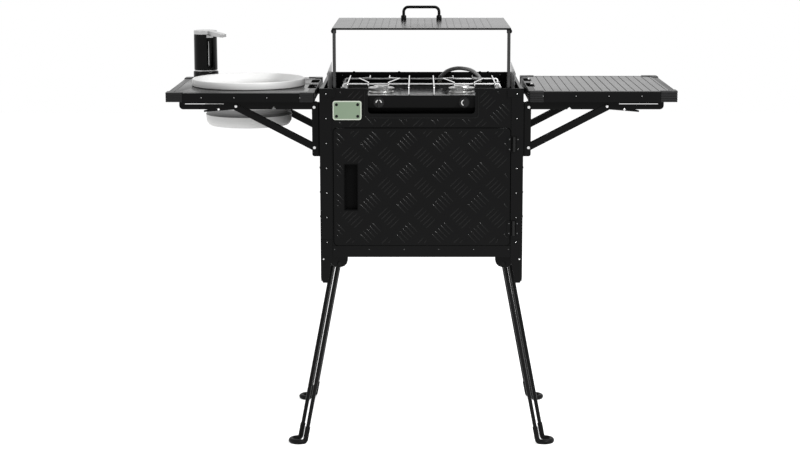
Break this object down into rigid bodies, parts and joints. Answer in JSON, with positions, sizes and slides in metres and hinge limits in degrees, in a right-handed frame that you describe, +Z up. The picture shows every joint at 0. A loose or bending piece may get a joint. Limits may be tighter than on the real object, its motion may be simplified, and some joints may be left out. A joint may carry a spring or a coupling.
{
  "type": "camp kitchen",
  "caption": "Folding camp kitchen: black steel cabinet on fold-in rod legs with a gas stove under a sliding lid, and fold-down side tables, one with a wash bowl and tap.",
  "frame": {"origin": "on the ground under the middle of the cabinet", "axes": "+X along the tables to the right as seen from the door side, +Y to the rear, +Z up"},
  "size_m": [1.23, 0.4638, 1.058],
  "materials": {
    "black_powder_coat": "satin",
    "black_rod": "satin",
    "bright_sheet": "satin",
    "stove_enamel": "satin",
    "burner_alloy": "satin",
    "gas_brass": "satin",
    "hose_rubber": "matte",
    "chrome_wire": "polished",
    "chrome_cap": "polished",
    "black_nylon": "matte",
    "gloss_body": "polished",
    "pale_silicone": "matte",
    "sage_enamel": "satin"
  },
  "bodies": {
    "cabinet": {"front_panel": "black_powder_coat", "rear_panel": "black_powder_coat", "floor_tray": "black_powder_coat", "name_plate": "sage_enamel", "lower_hinge_frame": "black_powder_coat", "upper_hinge_frame": "black_powder_coat", "stove_frame": "black_powder_coat", "stove_body": "stove_enamel", "gas_manifold": "gas_brass", "gas_bulkhead": "gas_brass", "gas_hose": "hose_rubber", "left_side_panel": "black_powder_coat", "left_wind_guard": "bright_sheet", "left_burner": "burner_alloy", "left_front_corner_post": "black_powder_coat", "left_front_wall_channel": "black_powder_coat", "left_rear_corner_post": "black_powder_coat", "left_rear_wall_channel": "black_powder_coat", "right_side_panel": "black_powder_coat", "right_wind_guard": "bright_sheet", "right_burner": "burner_alloy", "right_front_corner_post": "black_powder_coat", "right_front_wall_channel": "black_powder_coat", "right_rear_corner_post": "black_powder_coat", "right_rear_wall_channel": "black_powder_coat"},
    "door": {"door_panel": "black_powder_coat", "door_pull": "black_nylon", "lower_hinge_leaf": "black_powder_coat", "upper_hinge_leaf": "black_powder_coat"},
    "grate": {"pan_grate": "chrome_wire"},
    "lid": {"lid_panel": "black_powder_coat", "lid_handle": "black_powder_coat", "left_lid_post": "black_powder_coat", "right_lid_post": "black_powder_coat"},
    "bowl": {"sink_rim": "pale_silicone", "sink_bowl": "pale_silicone"},
    "spout": {"tap_spout": "chrome_cap"},
    "left_knob": {"left_gas_knob": "black_nylon"},
    "left_table": {"left_table_frame": "black_powder_coat", "left_table_top": "black_powder_coat", "left_front_support_arm": "black_powder_coat", "left_rear_support_arm": "black_powder_coat", "tap_body": "gloss_body"},
    "left_struts": {"left_front_strut": "black_powder_coat", "left_rear_strut": "black_powder_coat"},
    "left_levers": {"left_front_release_lever": "black_powder_coat", "left_rear_release_lever": "black_powder_coat"},
    "left_front_leg": {"left_front_leg": "black_rod"},
    "left_rear_leg": {"left_rear_leg": "black_rod"},
    "right_knob": {"right_gas_knob": "black_nylon"},
    "right_table": {"right_table_frame": "black_powder_coat", "right_table_top": "black_powder_coat", "right_front_support_arm": "black_powder_coat", "right_rear_support_arm": "black_powder_coat"},
    "right_struts": {"right_front_strut": "black_powder_coat", "right_rear_strut": "black_powder_coat"},
    "right_levers": {"right_front_release_lever": "black_powder_coat", "right_rear_release_lever": "black_powder_coat"},
    "right_front_leg": {"right_front_leg": "black_rod"},
    "right_rear_leg": {"right_rear_leg": "black_rod"}
  },
  "joints": [
    {"name": "door_hinge", "type": "hinge", "parent": "cabinet", "child": "door", "pos_m": [0.2225, -0.21505, 0.64], "axis": [0, 0, 1], "range_deg": [0, 110]},
    {"name": "left_knob_turn", "type": "hinge", "parent": "cabinet", "child": "left_knob", "pos_m": [-0.103, -0.19, 0.842], "axis": [0, 1, 0], "range_deg": [0, 150]},
    {"name": "right_knob_turn", "type": "hinge", "parent": "cabinet", "child": "right_knob", "pos_m": [0.103, -0.19, 0.842], "axis": [0, 1, 0], "range_deg": [0, 150]},
    {"name": "grate_lift", "type": "slide", "parent": "cabinet", "child": "grate", "axis": [0, 0, 1], "range_m": [0, 0.1]},
    {"name": "lid_slide", "type": "slide", "parent": "cabinet", "child": "lid", "axis": [0, 0, 1], "range_m": [-0.135, 0], "deforming": ["gas_hose"]},
    {"name": "left_table_fold", "type": "hinge", "parent": "cabinet", "child": "left_table", "pos_m": [-0.2585, 0, 0.831], "axis": [0, -1, 0], "range_deg": [0, 90], "deforming": ["sink_bowl"]},
    {"name": "left_strut_swing", "type": "hinge", "parent": "cabinet", "child": "left_struts", "pos_m": [-0.2585, 0, 0.733], "axis": [0, -1, 0], "range_deg": [0, 118]},
    {"name": "left_lever_lift", "type": "hinge", "parent": "left_table", "child": "left_levers", "pos_m": [-0.489, 0, 0.8255], "axis": [0, 1, 0], "range_deg": [0, 10], "stiffness_Nm_per_rad": 0.3},
    {"name": "right_table_fold", "type": "hinge", "parent": "cabinet", "child": "right_table", "pos_m": [0.2585, 0, 0.831], "axis": [0, 1, 0], "range_deg": [0, 90]},
    {"name": "right_strut_swing", "type": "hinge", "parent": "cabinet", "child": "right_struts", "pos_m": [0.2585, 0, 0.733], "axis": [0, 1, 0], "range_deg": [0, 118]},
    {"name": "right_lever_lift", "type": "hinge", "parent": "right_table", "child": "right_levers", "pos_m": [0.489, 0, 0.8255], "axis": [0, -1, 0], "range_deg": [0, 10], "stiffness_Nm_per_rad": 0.3},
    {"name": "bowl_lift", "type": "slide", "parent": "left_table", "child": "bowl", "axis": [0, 0, 1], "range_m": [0, 0.09]},
    {"name": "spout_swivel", "type": "hinge", "parent": "left_table", "child": "spout", "pos_m": [-0.556, 0.146, 0.98], "axis": [0, 0, 1], "range_deg": [-90, 90]},
    {"name": "left_front_leg_fold", "type": "hinge", "parent": "cabinet", "child": "left_front_leg", "pos_m": [-0.21, -0.171, 0.448], "axis": [0.3584, -0.9336, 0], "range_deg": [0, 102]},
    {"name": "left_rear_leg_fold", "type": "hinge", "parent": "cabinet", "child": "left_rear_leg", "pos_m": [-0.21, 0.171, 0.448], "axis": [-0.3584, -0.9336, 0], "range_deg": [0, 97]},
    {"name": "right_front_leg_fold", "type": "hinge", "parent": "cabinet", "child": "right_front_leg", "pos_m": [0.21, -0.171, 0.448], "axis": [0.3584, 0.9336, 0], "range_deg": [0, 97]},
    {"name": "right_rear_leg_fold", "type": "hinge", "parent": "cabinet", "child": "right_rear_leg", "pos_m": [0.21, 0.171, 0.448], "axis": [-0.3584, 0.9336, 0], "range_deg": [0, 90]}
  ],
  "couplings": [
    {"joint": "left_strut_swing", "follows": "left_table_fold", "ratio": 1.3052},
    {"joint": "right_strut_swing", "follows": "right_table_fold", "ratio": 1.3052}
  ]
}
